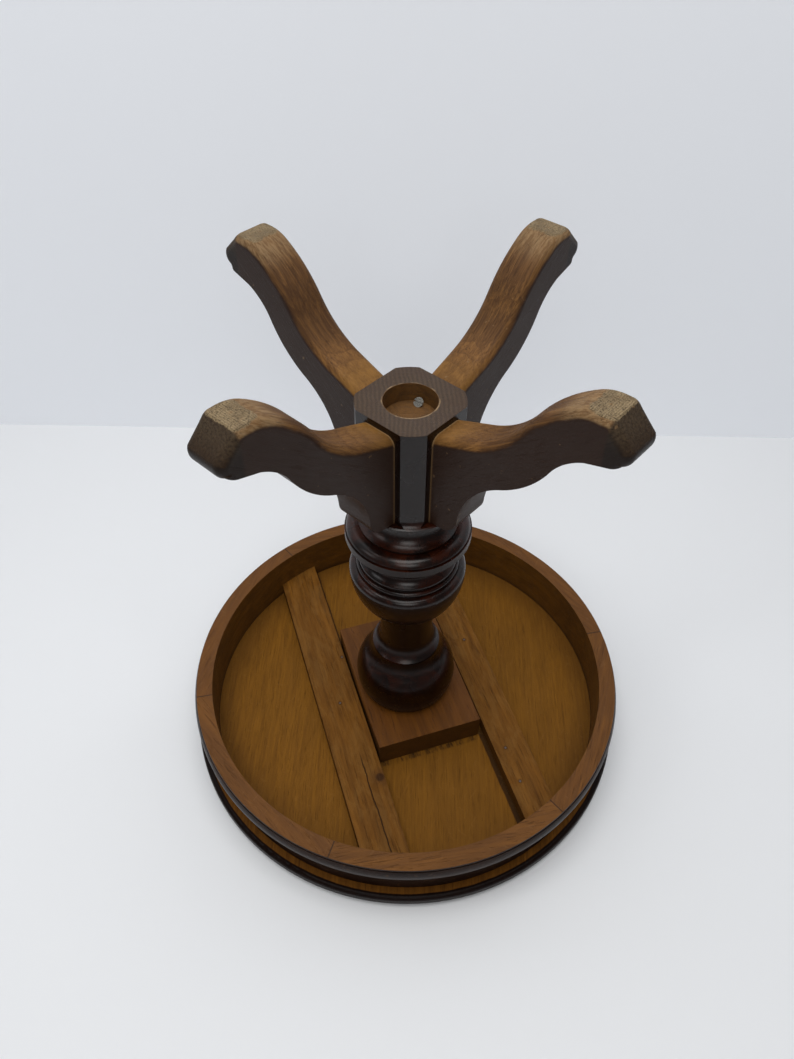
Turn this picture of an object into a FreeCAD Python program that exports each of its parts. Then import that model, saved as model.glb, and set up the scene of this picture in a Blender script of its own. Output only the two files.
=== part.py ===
import FreeCAD, Part

import math
import os
from types import SimpleNamespace

import Sketcher
from FreeCAD import Placement, Rotation, Vector

# A round pedestal table standing upside down on its top: show face on the floor, four legs in the air.
# Frame: +Z up, origin at the centre of the show face, millimetres. The column's axis is the Z axis.
# "Across" and "along" are the two directions of the batten frame, which is turned on the round top.

# ---------------------------------------------------------------- driving sizes
SIZES = {
    # round top with a moulded rim
    "top_radius": 234.0,
    "top_thickness": 18.0,
    "rim_round": 4.0,
    "rim_step": 8.0,
    "rim_lip": 3.0,
    "rim_cove": 7.0,
    # moulded ring under the top, glued up from segments
    "apron_radius": 230.0,
    "apron_width": 19.0,
    "apron_depth": 55.0,
    "apron_inset": 8.0,
    "apron_bead": 3.0,
    "apron_quirk": 1.2,
    "apron_band": 16.0,
    "apron_band_round": 14.0,
    "apron_cove_round": 40.0,
    "apron_turn": 12.5,
    # battens and the block between them
    "frame_turn": 19.1,
    "batten_thickness": 16.0,
    "batten_end_gap": 0.3,
    "left_batten_width": 45.6,
    "right_batten_width": 36.5,
    "left_batten_gap": 2.4,
    "right_batten_gap": 5.7,
    "block_width": 113.0,
    "block_length": 161.0,
    "block_thickness": 32.0,
    "block_left": 53.8,
    "block_front": 78.0,
    # spigot of the column in the block
    "spigot_radius": 15.0,
    "spigot_length": 26.0,
    # turned column, radii
    "foot_radius": 48.3,
    "ball_radius": 53.4,
    "shoulder_radius": 44.2,
    "ball_top_radius": 35.0,
    "neck_radius": 27.0,
    "cup_radius": 55.8,
    "cup_lip_radius": 49.9,
    "cup_bead_radius": 47.2,
    "waist_radius": 39.6,
    "waist_ring_radius": 44.2,
    "band_radius": 58.2,
    "crown_radius": 47.4,
    "crown_bead_radius": 45.6,
    "throat_radius": 34.6,
    "collar_radius": 49.5,
    "hub_radius": 45.0,
    # turned column, heights above the block
    "ball_height": 22.8,
    "shoulder_height": 49.5,
    "ball_top_height": 69.8,
    "neck_height": 88.5,
    "cup_foot_height": 140.5,
    "cup_height": 188.1,
    "cup_lip_height": 195.5,
    "cup_bead_height": 202.5,
    "waist_ring_height": 216.6,
    "waist_height": 230.0,
    "band_height": 235.8,
    "band_width": 7.6,
    "crown_height": 251.0,
    "crown_bead_height": 254.0,
    "throat_height": 267.0,
    "collar_height": 280.6,
    "collar_width": 4.6,
    "hub_foot_height": 291.0,
    "hub_height": 383.6,
    # turned column, curves
    "ball_round": 47.5,
    "shoulder_round": 40.0,
    "neck_cove_round": 22.0,
    "cup_foot_round": 21.0,
    "cup_side_round": 68.2,
    "cup_bend_radius": 44.2,
    "cup_bend_height": 150.1,
    "cup_lip_round": 7.0,
    "bead_round": 2.6,
    "waist_cove_round": 11.0,
    "crown_round": 9.0,
    "throat_cove_round": 14.0,
    "collar_cove_round": 15.0,
    "hub_cove_round": 9.0,
    "line_width": 1.8,
    "line_depth": 1.4,
    # square seats for the legs on the hub, and the bore in its end
    "hub_turn": 49.0,
    "seat_distance": 38.2,
    "seat_width": 56.0,
    "seat_height": 286.0,
    "bore_radius": 22.4,
    "bore_depth": 17.0,
    # legs, reach from the column's axis and height above the seat
    "leg_thickness": 36.0,
    "leg_end": 91.5,
    "ramp_reach": 70.0,
    "ramp_height": 104.0,
    "sweep_reach": 112.0,
    "sweep_height": 139.0,
    "sweep_round": 86.7,
    "brow_reach": 150.0,
    "brow_height": 176.9,
    "brow_round": 116.2,
    "crest_reach": 168.5,
    "crest_round": 35.3,
    "pad_height": 180.9,
    "pad_wear": 1.2,
    "toe_reach": 175.5,
    "nose_reach": 194.0,
    "nose_height": 164.0,
    "nose_round": 10.7,
    "heel_reach": 189.0,
    "heel_height": 149.8,
    "arch_reach": 165.0,
    "arch_height": 142.0,
    "arch_round": 51.5,
    "knee_reach": 142.0,
    "knee_height": 119.5,
    "knee_round": 98.7,
    "scroll_reach": 106.0,
    "scroll_height": 80.0,
    "scroll_round": 75.0,
    "root_reach": 67.0,
    "root_height": 18.0,
    "root_round": 19.0,
    "root_foot_reach": 53.0,
    "root_foot_height": 2.0,
    "leg_edge_round": 8.0,
    "toe_edge_round": 7.0,
    # fasteners
    "dowel_radius": 4.0,
    "dowel_depth": 18.0,
    "dowel_height": 24.0,
    "dowel_spacing": 42.0,
    "dowel_clearance": 0.05,
    "nail_radius": 1.1,
    "nail_length": 22.0,
    "nail_clearance": 0.02,
    "screw_radius": 2.1,
    "screw_length": 42.0,
    "screw_head_radius": 4.3,
    "screw_head_height": 2.6,
    "screw_slot_width": 1.0,
    "screw_slot_depth": 1.2,
    "screw_across": 6.4,
    "screw_along": 16.2,
    "screw_lift": 2.8,
    "screw_heading": 58.0,
    "screw_dive": 48.0,
}

# nail heads, across and along the batten frame
LEFT_NAILS = [(-59.3, 56.1), (-77.5, -3.0)]
RIGHT_NAILS = [(85.8, 36.3), (76.8, -110.2), (76.4, -150.2)]

SEGMENTS = 6
LEGS = 4

doc = FreeCAD.newDocument("pedestal_table")
sheet = doc.addObject("Spreadsheet::Sheet", "Sizes")


class Length:
    """A length from the sheet: its value now, and the expression that keeps it bound."""

    def __init__(self, value, expression):
        self.value = value
        self.expression = expression

    def __add__(self, other):
        return Length(self.value + other.value, f"({self.expression} + {other.expression})")

    def __sub__(self, other):
        return Length(self.value - other.value, f"({self.expression} - {other.expression})")

    def __neg__(self):
        return Length(-self.value, f"(-{self.expression})")

    def __mul__(self, factor):
        return Length(self.value * factor, f"({self.expression} * {factor})")


def fill_sheet():
    """Writes every driving size to the sheet and returns them as named lengths."""
    cells = dict(SIZES)
    for side, nails in (("left", LEFT_NAILS), ("right", RIGHT_NAILS)):
        for number, (across, along) in enumerate(nails, start=1):
            cells[f"{side}_nail_across_{number}"] = across
            cells[f"{side}_nail_along_{number}"] = along
    for row, (alias, value) in enumerate(cells.items(), start=1):
        sheet.set(f"A{row}", alias)
        sheet.set(f"B{row}", str(value))
        sheet.setAlias(f"B{row}", alias)
    doc.recompute()
    return {alias: Length(float(sheet.get(alias)), f"Sizes.{alias}") for alias in cells}


LENGTHS = fill_sheet()
size = SimpleNamespace(**LENGTHS)
zero = Length(0.0, "0")


# ---------------------------------------------------------------- building helpers
def bind(item, **properties):
    """Binds properties of a document object to lengths of the sheet."""
    for name, length in properties.items():
        item.setExpression(name, length.expression)


def place(item, rise=zero, turn=zero, share=0.0):
    """Raises a sub-part along Z and turns it about Z by a sheet angle plus a fixed share of a turn."""
    turned = turn.value + share
    item.Placement = Placement(Vector(0, 0, rise.value), Rotation(Vector(0, 0, 1), turned))
    item.setExpression("Placement.Base.z", rise.expression)
    item.setExpression("Placement.Rotation.Angle", f"{turn.expression} + {share}")


def new_body(label):
    body = doc.addObject("PartDesign::Body", label)
    body.Label = label
    return body


def origin_item(body, role):
    """One plane or axis of the body's origin."""
    return next(item for item in body.Origin.OriginFeatures if item.Role == role)


def new_sketch(body, name, plane, offset=None):
    """Opens a sketch on one of the body's origin planes, moved off the plane by an optional length."""
    sketch = body.newObject("Sketcher::SketchObject", f"{body.Name}_{name}")
    sketch.AttachmentSupport = [(origin_item(body, plane), "")]
    sketch.MapMode = "FlatFace"
    if offset is not None:
        sketch.AttachmentOffset = Placement(Vector(0, 0, offset.value), Rotation())
        sketch.setExpression("AttachmentOffset.Base.z", offset.expression)
    return sketch


def pin(sketch, geometry, position, x, y):
    """Holds a vertex at x, y from the sketch's origin."""
    for kind, length, axis in (("DistanceX", x, -2), ("DistanceY", y, -1)):
        if length is zero:
            sketch.addConstraint(Sketcher.Constraint("PointOnObject", geometry, position, axis))
            continue
        index = sketch.addConstraint(Sketcher.Constraint(kind, geometry, position, length.value))
        sketch.setExpression(f"Constraints[{index}]", length.expression)


def circle(sketch, x, y, radius):
    """Draws a circle with its centre and radius bound."""
    drawn = Part.Circle(Vector(x.value, y.value, 0), Vector(0, 0, 1), radius.value)
    geometry = sketch.addGeometry(drawn, False)
    pin(sketch, geometry, 3, x, y)
    index = sketch.addConstraint(Sketcher.Constraint("Radius", geometry, radius.value))
    sketch.setExpression(f"Constraints[{index}]", radius.expression)


class Outline:
    """A closed outline of lines and arcs, each corner and each radius bound to the sheet."""

    def __init__(self, sketch, x, y):
        self.sketch = sketch
        self.start = (x, y)
        self.here = (x, y)
        self.first = None
        self.last = None

    def _join(self, geometry, begin, end, x, y, closing):
        if self.last is None:
            self.first = (geometry, begin)
            pin(self.sketch, geometry, begin, *self.start)
        else:
            self.sketch.addConstraint(Sketcher.Constraint("Coincident", *self.last, geometry, begin))
        if closing:
            self.sketch.addConstraint(Sketcher.Constraint("Coincident", geometry, end, *self.first))
        else:
            pin(self.sketch, geometry, end, x, y)
        self.last = (geometry, end)
        self.here = (x, y)

    def line(self, x, y, closing=False):
        start = Vector(self.here[0].value, self.here[1].value, 0)
        end = Vector(x.value, y.value, 0)
        geometry = self.sketch.addGeometry(Part.LineSegment(start, end), False)
        self._join(geometry, 1, 2, x, y, closing)
        return self

    def arc(self, x, y, radius, left):
        """Goes on to x, y by a short arc that turns left or right."""
        start = Vector(self.here[0].value, self.here[1].value, 0)
        end = Vector(x.value, y.value, 0)
        chord = end - start
        side = Vector(-chord.y, chord.x, 0).normalize() * (1 if left else -1)
        rise = math.sqrt(radius.value ** 2 - (chord.Length / 2) ** 2)
        centre = (start + end) * 0.5 + side * rise
        ends = [math.atan2(point.y - centre.y, point.x - centre.x) for point in (start, end)]
        if not left:
            ends.reverse()
        whole = Part.Circle(centre, Vector(0, 0, 1), radius.value)
        geometry = self.sketch.addGeometry(Part.ArcOfCircle(whole, *ends), False)
        begin, finish = (1, 2) if left else (2, 1)
        self._join(geometry, begin, finish, x, y, False)
        index = self.sketch.addConstraint(Sketcher.Constraint("Radius", geometry, radius.value))
        self.sketch.setExpression(f"Constraints[{index}]", radius.expression)
        return self

    def close(self):
        return self.line(*self.start, closing=True)


def rectangle(sketch, left, right, low, high):
    outline = Outline(sketch, left, low)
    outline.line(right, low).line(right, high).line(left, high).close()


def revolve(body, sketch, angle=360.0):
    """Turns a profile about the body's Z axis."""
    turned = body.newObject("PartDesign::Revolution", f"{body.Name}_turning")
    turned.Profile = sketch
    turned.ReferenceAxis = (origin_item(body, "Z_Axis"), [""])
    turned.Angle = angle
    doc.recompute()
    return turned


def pad(body, sketch, length, symmetric=False):
    raised = body.newObject("PartDesign::Pad", f"{sketch.Name}_pad")
    raised.Profile = sketch
    raised.SideType = "Symmetric" if symmetric else "One side"
    raised.Length = length.value
    bind(raised, Length=length)
    doc.recompute()
    return raised


def pocket(body, sketch, depth, reversed_cut=False, symmetric=False):
    """Cuts a sketch into the body by a depth, and checks that it took something away."""
    before = body.Shape.Volume
    cut = body.newObject("PartDesign::Pocket", f"{sketch.Name}_cut")
    cut.Profile = sketch
    cut.Reversed = reversed_cut
    cut.SideType = "Symmetric" if symmetric else "One side"
    cut.Length = depth.value
    bind(cut, Length=depth)
    doc.recompute()
    if body.Shape.Volume > before - 1e-3:
        raise RuntimeError(f"{cut.Name} cuts nothing")
    return cut


# ---------------------------------------------------------------- round top
def nail_spots(side, count):
    for number in range(1, count + 1):
        yield LENGTHS[f"{side}_nail_across_{number}"], LENGTHS[f"{side}_nail_along_{number}"]


def make_top():
    """The round top, show face down, with a rounded rim over a stepped cove."""
    body = new_body("top_board")
    profile = new_sketch(body, "profile", "XZ_Plane")
    rim = size.top_radius
    under = size.top_thickness
    outline = Outline(profile, zero, zero)
    outline.line(rim - size.rim_cove, zero)
    outline.line(rim - size.rim_cove, size.rim_lip)
    outline.arc(rim, size.rim_step, size.rim_cove, left=False)
    outline.line(rim, under - size.rim_round)
    outline.arc(rim - size.rim_round, under, size.rim_round, left=True)
    outline.line(zero, under).close()
    revolve(body, profile)
    holes = new_sketch(body, "nail_holes", "XY_Plane", offset=under)
    for side, count in (("left", len(LEFT_NAILS)), ("right", len(RIGHT_NAILS))):
        for across, along in nail_spots(side, count):
            circle(holes, across, along, size.nail_radius + size.nail_clearance)
    pocket(body, holes, size.nail_length - size.batten_thickness)
    place(body, turn=size.frame_turn)
    return body


# ---------------------------------------------------------------- ring of apron segments
def make_apron_segment(number):
    """One sixth of the ring: bead, quirk, rounded band and cove on the outside, plain inside."""
    body = new_body(f"apron_segment_{number}")
    profile = new_sketch(body, "profile", "XZ_Plane")
    inner = size.apron_radius - size.apron_width
    foot = size.apron_radius - size.apron_inset
    quirk = size.apron_radius - size.apron_quirk
    face = size.apron_depth
    bead_foot = face - size.apron_bead
    quirk_foot = bead_foot - size.apron_quirk
    band_foot = quirk_foot - size.apron_band
    outline = Outline(profile, inner, zero)
    outline.line(foot, zero)
    outline.arc(quirk - size.apron_quirk, band_foot, size.apron_cove_round, left=False)
    outline.arc(quirk, quirk_foot, size.apron_band_round, left=True)
    outline.line(quirk - size.apron_quirk, quirk_foot)
    outline.line(quirk - size.apron_quirk, bead_foot)
    outline.arc(quirk - size.apron_quirk, face, size.apron_bead, left=True)
    outline.line(inner, face).close()
    revolve(body, profile, angle=360.0 / SEGMENTS)
    share = (number - 1) * 360.0 / SEGMENTS
    place(body, rise=size.top_thickness, turn=size.apron_turn, share=share)
    return body


# ---------------------------------------------------------------- battens and block
def make_batten(side, near, far, nails):
    """A flat batten from one side of the ring to the other, its ends cut to the ring's inside."""
    body = new_body(f"batten_{side}")
    plan = new_sketch(body, "plan", "XY_Plane")
    reach = size.apron_radius - size.apron_width - size.batten_end_gap
    ends = {}
    for across in (near, far):
        ends[across] = math.sqrt(reach.value ** 2 - across.value ** 2)
    low_left, low_right = Vector(near.value, -ends[near], 0), Vector(far.value, -ends[far], 0)
    high_left, high_right = Vector(near.value, ends[near], 0), Vector(far.value, ends[far], 0)
    rim = Part.Circle(Vector(0, 0, 0), Vector(0, 0, 1), reach.value)
    front = Part.ArcOfCircle(rim, *[math.atan2(point.y, point.x) for point in (low_left, low_right)])
    back = Part.ArcOfCircle(rim, *[math.atan2(point.y, point.x) for point in (high_right, high_left)])
    right = Part.LineSegment(low_right, high_right)
    left = Part.LineSegment(high_left, low_left)
    plan.addGeometry([front, right, back, left], False)
    for here, following in ((0, 1), (1, 2), (2, 3), (3, 0)):
        plan.addConstraint(Sketcher.Constraint("Coincident", here, 2, following, 1))
    for end in (0, 2):
        plan.addConstraint(Sketcher.Constraint("Coincident", end, 3, -1, 1))
    for edge, across in ((1, far), (3, near)):
        plan.addConstraint(Sketcher.Constraint("Vertical", edge))
        index = plan.addConstraint(Sketcher.Constraint("DistanceX", edge, 1, across.value))
        plan.setExpression(f"Constraints[{index}]", across.expression)
    index = plan.addConstraint(Sketcher.Constraint("Radius", 0, reach.value))
    plan.setExpression(f"Constraints[{index}]", reach.expression)
    pad(body, plan, size.batten_thickness)
    holes = new_sketch(body, "nail_holes", "XY_Plane", offset=size.batten_thickness)
    for across, along in nail_spots(side, len(nails)):
        circle(holes, across, along, size.nail_radius + size.nail_clearance)
    pocket(body, holes, size.batten_thickness)
    place(body, rise=size.top_thickness, turn=size.frame_turn)
    return body


def make_block():
    """The thick block that carries the column, with a blind hole for its spigot."""
    body = new_body("mounting_block")
    plan = new_sketch(body, "plan", "XY_Plane")
    left = -size.block_left
    front = -size.block_front
    rectangle(plan, left, left + size.block_width, front, front + size.block_length)
    pad(body, plan, size.block_thickness)
    hole = new_sketch(body, "spigot_hole", "XY_Plane", offset=size.block_thickness)
    circle(hole, zero, zero, size.spigot_radius)
    pocket(body, hole, size.spigot_length)
    place(body, rise=size.top_thickness, turn=size.frame_turn)
    return body


# ---------------------------------------------------------------- turned column
def draw_column(profile):
    """Half section of the column from spigot to hub, heights measured from the block's face."""
    groove = size.line_width
    depth = size.line_depth
    outline = Outline(profile, zero, -size.spigot_length)
    outline.line(size.spigot_radius, -size.spigot_length)
    outline.line(size.spigot_radius, zero)
    # ball foot
    outline.line(size.foot_radius, zero)
    outline.arc(size.ball_radius, size.ball_height, size.ball_round, left=True)
    outline.arc(size.shoulder_radius, size.shoulder_height, size.ball_round, left=True)
    outline.arc(size.ball_top_radius, size.ball_top_height, size.shoulder_round, left=False)
    outline.line(size.ball_top_radius - depth, size.ball_top_height)
    outline.line(size.ball_top_radius - depth, size.ball_top_height + groove)
    outline.line(size.ball_top_radius, size.ball_top_height + groove)
    # neck
    outline.arc(size.neck_radius, size.neck_height, size.neck_cove_round, left=False)
    outline.line(size.neck_radius, size.cup_foot_height)
    # cup with a rolled lip
    outline.arc(size.cup_bend_radius, size.cup_bend_height, size.cup_foot_round, left=True)
    outline.arc(size.cup_radius, size.cup_height, size.cup_side_round, left=True)
    outline.arc(size.cup_lip_radius, size.cup_lip_height, size.cup_lip_round, left=True)
    outline.line(size.cup_lip_radius - depth, size.cup_lip_height)
    outline.line(size.cup_lip_radius - depth, size.cup_lip_height + depth)
    outline.arc(size.cup_bead_radius, size.cup_bead_height - groove, size.bead_round, left=True)
    outline.line(size.cup_bead_radius - depth, size.cup_bead_height - groove)
    outline.line(size.cup_bead_radius - depth, size.cup_bead_height)
    bead_top = size.cup_bead_height + groove * 2
    outline.arc(size.cup_bead_radius - depth, bead_top, size.bead_round, left=True)
    # waist with a fine ring
    ring_foot = size.waist_ring_height
    ring_top = ring_foot + groove
    outline.arc(size.waist_radius, ring_foot, size.waist_cove_round, left=False)
    outline.line(size.waist_ring_radius, ring_foot)
    outline.line(size.waist_ring_radius, ring_top)
    outline.line(size.waist_radius, ring_top)
    outline.line(size.waist_radius, size.waist_height)
    # wide band and the crown over it
    band_top = size.band_height + size.band_width
    outline.line(size.band_radius - depth, size.band_height - depth)
    outline.line(size.band_radius, size.band_height)
    outline.line(size.band_radius, band_top)
    outline.line(size.band_radius - depth * 2, band_top)
    outline.line(size.band_radius - depth * 2, band_top + depth)
    outline.line(size.band_radius - depth, band_top + depth)
    outline.arc(size.crown_radius, size.crown_height, size.crown_round, left=True)
    outline.line(size.crown_bead_radius - depth, size.crown_height)
    outline.line(size.crown_bead_radius - depth, size.crown_height + depth)
    outline.line(size.crown_bead_radius, size.crown_height + depth)
    outline.line(size.crown_bead_radius, size.crown_bead_height)
    # throat and collar
    outline.arc(size.throat_radius, size.throat_height, size.throat_cove_round, left=False)
    outline.arc(size.collar_radius - depth, size.collar_height, size.collar_cove_round, left=False)
    outline.line(size.collar_radius, size.collar_height + depth)
    outline.line(size.collar_radius, size.collar_height + size.collar_width)
    # hub with a bore in its end
    outline.arc(size.hub_radius, size.hub_foot_height, size.hub_cove_round, left=False)
    outline.line(size.hub_radius, size.hub_height)
    outline.line(size.bore_radius, size.hub_height)
    outline.line(size.bore_radius, size.hub_height - size.bore_depth)
    outline.line(zero, size.hub_height - size.bore_depth).close()


def dowel_heights():
    """Heights of a leg's two dowels above the seat."""
    return (size.dowel_height, size.dowel_height + size.dowel_spacing)


def make_column():
    """The column in one piece: spigot, ball, neck, cup, crown, collar, and the hub with four flats."""
    body = new_body("column")
    profile = new_sketch(body, "profile", "XZ_Plane")
    draw_column(profile)
    revolve(body, profile)
    half_seat = size.seat_width * 0.5
    flat = new_sketch(body, "flat", "YZ_Plane", offset=size.seat_distance)
    rectangle(flat, -half_seat, half_seat, size.seat_height, size.hub_height + size.line_width)
    flat_cut = pocket(body, flat, size.hub_radius, reversed_cut=True)
    holes = new_sketch(body, "dowel_holes", "YZ_Plane", offset=size.seat_distance)
    for height in dowel_heights():
        circle(holes, zero, size.seat_height + height, size.dowel_radius + size.dowel_clearance)
    hole_cut = pocket(body, holes, size.dowel_depth)
    around = body.newObject("PartDesign::PolarPattern", "column_seats")
    around.Originals = [flat_cut, hole_cut]
    around.Axis = (origin_item(body, "Z_Axis"), [""])
    around.Angle = 360.0
    around.Occurrences = LEGS
    body.Tip = around
    place(body, rise=size.top_thickness + size.block_thickness, turn=size.hub_turn)
    doc.recompute()
    return body


# ---------------------------------------------------------------- legs
def edges_where(shape, wanted):
    """Names of the edges whose middle points pass a test."""
    names = []
    for number, edge in enumerate(shape.Edges, start=1):
        middle = edge.valueAt((edge.FirstParameter + edge.LastParameter) / 2)
        if wanted(middle):
            names.append(f"Edge{number}")
    return names


def round_edges(body, base, name, radius, wanted):
    rounded = body.newObject("PartDesign::Fillet", f"{body.Name}_{name}")
    rounded.Base = (base, edges_where(base.Shape, wanted))
    rounded.Radius = radius.value
    bind(rounded, Radius=radius)
    doc.recompute()
    return rounded


def leg_crest():
    """Height of a leg's crest above the seat, before the pad is worn flat."""
    return size.pad_height + size.pad_wear


def draw_leg(profile):
    """Side outline of a leg, its reach from the column's axis and its height above the seat."""
    outline = Outline(profile, size.seat_distance, zero)
    outline.line(size.root_foot_reach, size.root_foot_height)
    outline.arc(size.root_reach, size.root_height, size.root_round, left=True)
    outline.arc(size.scroll_reach, size.scroll_height, size.scroll_round, left=False)
    outline.arc(size.knee_reach, size.knee_height, size.knee_round, left=True)
    outline.arc(size.arch_reach, size.arch_height, size.arch_round, left=False)
    outline.line(size.heel_reach, size.heel_height)
    outline.arc(size.nose_reach, size.nose_height, size.nose_round, left=True)
    outline.line(size.toe_reach, leg_crest())
    outline.line(size.crest_reach, leg_crest())
    outline.arc(size.brow_reach, size.brow_height, size.crest_round, left=True)
    outline.arc(size.sweep_reach, size.sweep_height, size.brow_round, left=True)
    outline.arc(size.ramp_reach, size.ramp_height, size.sweep_round, left=False)
    outline.line(size.seat_distance, size.leg_end)
    outline.close()


def make_leg(number):
    """A scroll-cut leg: flat sides, rounded underside and toe, a flat worn pad, two dowel holes."""
    body = new_body(f"leg_{number}")
    profile = new_sketch(body, "profile", "XZ_Plane")
    draw_leg(profile)
    board = pad(body, profile, size.leg_thickness, symmetric=True)
    half = size.leg_thickness.value / 2

    slope = (size.nose_height - size.leg_end).value / (size.nose_reach - size.seat_distance).value

    def on_side(middle):
        return abs(abs(middle.y) - half) < 1e-3

    def under_edge(middle):
        ahead = middle.x - size.seat_distance.value
        chord = size.leg_end.value + slope * ahead - size.leg_edge_round.value / 2
        return on_side(middle) and 1.0 < ahead and middle.x < size.toe_reach.value and middle.z > chord

    def toe_edge(middle):
        past_underside = middle.x > size.toe_reach.value + size.leg_edge_round.value / 2
        return on_side(middle) and past_underside and middle.z > size.heel_height.value

    softened = round_edges(body, board, "underside", size.leg_edge_round, under_edge)
    round_edges(body, softened, "toe", size.toe_edge_round, toe_edge)
    worn = new_sketch(body, "pad", "XZ_Plane")
    above = leg_crest() + size.leg_edge_round
    rectangle(worn, size.sweep_reach, size.nose_reach, size.pad_height, above)
    pocket(body, worn, size.leg_thickness, symmetric=True)
    holes = new_sketch(body, "dowel_holes", "YZ_Plane", offset=size.seat_distance)
    for height in dowel_heights():
        circle(holes, zero, height, size.dowel_radius + size.dowel_clearance)
    pocket(body, holes, size.dowel_depth, reversed_cut=True)
    seat = size.top_thickness + size.block_thickness + size.seat_height
    place(body, rise=seat, turn=size.hub_turn, share=(number - 1) * 360.0 / LEGS)
    return body


# ---------------------------------------------------------------- fasteners
def make_cylinder(name, radius, height, position, rotation):
    rod = doc.addObject("Part::Cylinder", name)
    rod.Radius = radius.value
    rod.Height = height.value
    bind(rod, Radius=radius, Height=height)
    rod.Placement = Placement(position, rotation)
    return rod


def make_dowels():
    """Two dowels in each leg joint, half in the hub and half in the leg."""
    rods = []
    seat = size.top_thickness + size.block_thickness + size.seat_height
    start = size.seat_distance - size.dowel_depth
    for number in range(LEGS):
        heading = size.hub_turn.value + number * 360.0 / LEGS
        outward = Vector(math.cos(math.radians(heading)), math.sin(math.radians(heading)), 0)
        for row, height in enumerate(dowel_heights(), start=1):
            position = outward * start.value + Vector(0, 0, (seat + height).value)
            rotation = Rotation(Vector(0, 0, 1), outward)
            name = f"dowel_{number + 1}_{row}"
            length = size.dowel_depth * 2
            rods.append(make_cylinder(name, size.dowel_radius, length, position, rotation))
    dowels = doc.addObject("Part::Compound", "leg_dowels")
    dowels.Label = "leg_dowels"
    dowels.Links = rods
    return dowels


def make_nails():
    """Nails through the battens into the top, heads flush with the battens."""
    rods = []
    foot = size.top_thickness + size.batten_thickness - size.nail_length
    for side, nails in (("left", LEFT_NAILS), ("right", RIGHT_NAILS)):
        for number, (across, along) in enumerate(nail_spots(side, len(nails)), start=1):
            position = Vector(across.value, along.value, foot.value)
            name = f"nail_{side}_{number}"
            rods.append(make_cylinder(name, size.nail_radius, size.nail_length, position, Rotation()))
    nails = doc.addObject("Part::Compound", "batten_nails")
    nails.Label = "batten_nails"
    nails.Links = rods
    place(nails, turn=size.frame_turn)
    return nails


def make_screw():
    """A slotted wood screw in the corner of the bore, driven down and outwards into a leg."""
    body = new_body("bore_screw")
    profile = new_sketch(body, "profile", "XZ_Plane")
    outline = Outline(profile, zero, -size.screw_length)
    outline.line(size.screw_radius, -(size.screw_length - size.screw_head_radius))
    outline.line(size.screw_radius, -size.screw_head_height)
    outline.line(size.screw_head_radius, zero)
    outline.line(zero, zero).close()
    revolve(body, profile)
    slot = new_sketch(body, "slot", "XY_Plane")
    half = size.screw_slot_width * 0.5
    rectangle(slot, -size.screw_head_radius, size.screw_head_radius, -half, half)
    pocket(body, slot, size.screw_slot_depth)
    floor = size.top_thickness + size.block_thickness + size.hub_height - size.bore_depth
    heading = math.radians(size.screw_heading.value)
    dive = math.radians(size.screw_dive.value)
    level = math.cos(dive)
    shank = Vector(math.cos(heading) * level, math.sin(heading) * level, -math.sin(dive))
    position = Vector(size.screw_across.value, size.screw_along.value, (floor + size.screw_lift).value)
    sideways = Vector(math.sin(heading), -math.cos(heading), 0)
    body.Placement = Placement(position, Rotation(sideways, Vector(), shank * -1, "ZXY"))
    return body


# ---------------------------------------------------------------- the whole table
def make_table():
    left_inner = -(size.block_left + size.left_batten_gap)
    right_inner = size.block_width - size.block_left + size.right_batten_gap
    pieces = [make_top()]
    pieces += [make_apron_segment(number) for number in range(1, SEGMENTS + 1)]
    pieces.append(make_batten("left", left_inner - size.left_batten_width, left_inner, LEFT_NAILS))
    pieces.append(make_batten("right", right_inner, right_inner + size.right_batten_width, RIGHT_NAILS))
    pieces += [make_block(), make_column()]
    pieces += [make_leg(number) for number in range(1, LEGS + 1)]
    pieces += [make_dowels(), make_nails(), make_screw()]
    return pieces


def check(pieces):
    """Stops if any object of the document failed, or a sub-part has no valid shape."""
    for item in doc.Objects:
        if "Invalid" in item.State or "Error" in item.State:
            raise RuntimeError(f"{item.Label}: {item.State}")
    for piece in pieces:
        if piece.Shape.isNull() or not piece.Shape.isValid():
            raise RuntimeError(f"{piece.Label} has no valid shape")
        print(f"{piece.Label}: {piece.Shape.Volume / 1000:.1f} cm3, {len(piece.Shape.Solids)} solid(s)")


pieces = make_table()
doc.recompute()
check(pieces)
os.makedirs("parts", exist_ok=True)
for piece in pieces:
    piece.Shape.exportStep(f"parts/{piece.Label}.step")
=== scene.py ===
"""Visual model of a round pedestal table that stands upside down on its top.

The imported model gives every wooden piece, its size and its place. This file dresses the pieces in
stained, polished and bare wood, and sets a pale studio with a camera above the front of the table.
"""

import logging
import math
from dataclasses import dataclass
from enum import Enum
from typing import Any, Sequence

import bmesh
import bpy
from mathutils import Matrix, Vector


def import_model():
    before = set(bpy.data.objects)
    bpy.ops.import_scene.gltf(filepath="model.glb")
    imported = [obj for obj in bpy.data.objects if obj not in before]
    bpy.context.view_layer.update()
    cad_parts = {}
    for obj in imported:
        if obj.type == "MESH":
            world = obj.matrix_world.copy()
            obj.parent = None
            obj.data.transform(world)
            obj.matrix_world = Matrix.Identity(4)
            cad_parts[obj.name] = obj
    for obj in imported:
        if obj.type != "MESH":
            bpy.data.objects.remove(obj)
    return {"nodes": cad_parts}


LOG = logging.getLogger("pedestal_table")

Colour = tuple[float, float, float]
Socket = Any

QUARTER = math.radians(90.0)
# Headings about +Z: the battens, the first leg and the first joint of the ring.
FRAME_TURN = math.radians(19.1)
HUB_TURN = math.radians(49.0)
APRON_TURN = math.radians(12.5)
LEGS = 4
SEGMENTS = 6
# Sockets of a Mix node that blends colours, by number.
MIX_SHARE = 0
MIX_UNDER = 6
MIX_OVER = 7
MIX_RESULT = 2


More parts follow.
